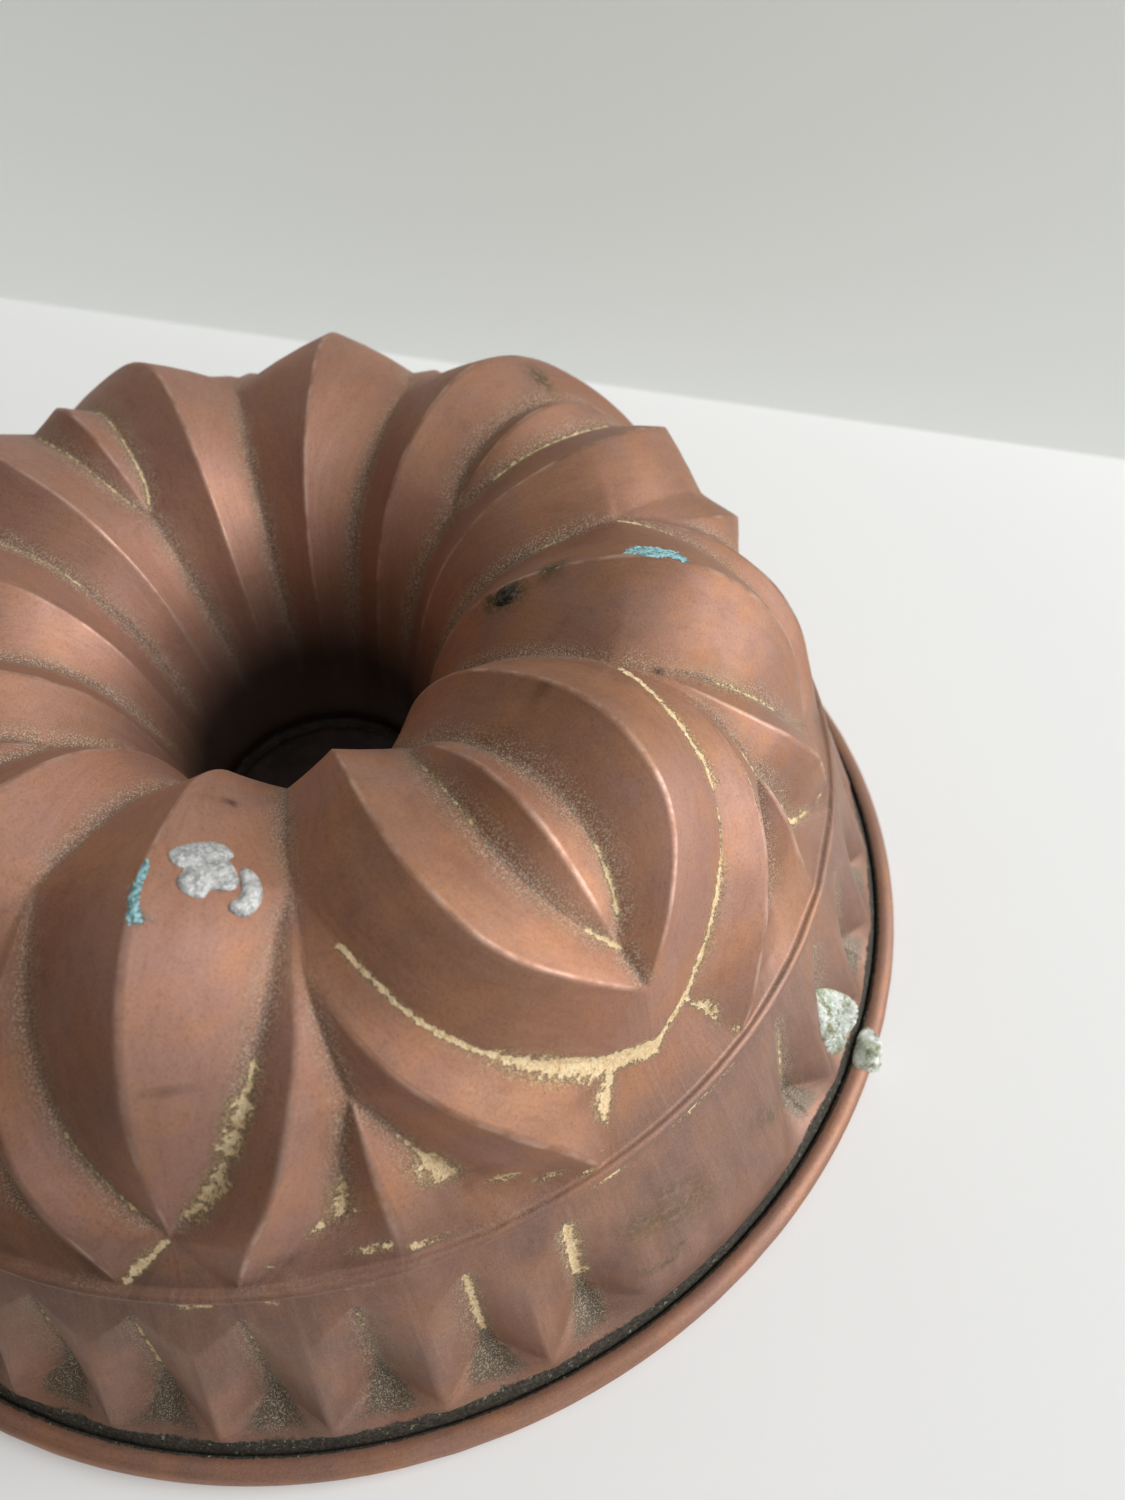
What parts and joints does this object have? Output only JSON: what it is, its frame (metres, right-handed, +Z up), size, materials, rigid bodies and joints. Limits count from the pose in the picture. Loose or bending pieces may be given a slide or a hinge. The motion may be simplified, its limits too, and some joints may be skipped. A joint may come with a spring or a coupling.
{
  "type": "ring cake mould",
  "caption": "Ring cake mould with a petal-embossed, fluted crown, a central tube, a ribbed wall with a chip-cut band, and a rolled rim over a wire.",
  "frame": {"origin": "centre of the plane that the rolled rim rests on", "axes": "+Z up along the axis of the ring, towards the crown; the two-ridged petals point along +X, +Y, -X and -Y"},
  "size_m": [0.22, 0.22, 0.0824],
  "materials": {
    "copper_body": "aged satin copper with brown patina, rubbed ridges and polish residue in the creases; tin-washed inside",
    "copper_tube": "dark brown aged copper",
    "steel_wire": "dark bare wire",
    "seam_solder": "dull crusted solder, yellowish",
    "repair_tin": "matt grey tin with brush marks",
    "dark_solder": "blackened solder",
    "solder_crust": "rough whitish green crust over solder"
  },
  "bodies": {
    "root": {"body_shell": "copper_body", "centre_tube": "copper_tube", "rim_wire": "steel_wire", "tube_seam_solder": "seam_solder", "repair_patch_large": "repair_tin", "repair_patch_small": "repair_tin", "pinhole_solder": "dark_solder", "rim_solder_crust": "solder_crust"}
  },
  "joints": []
}
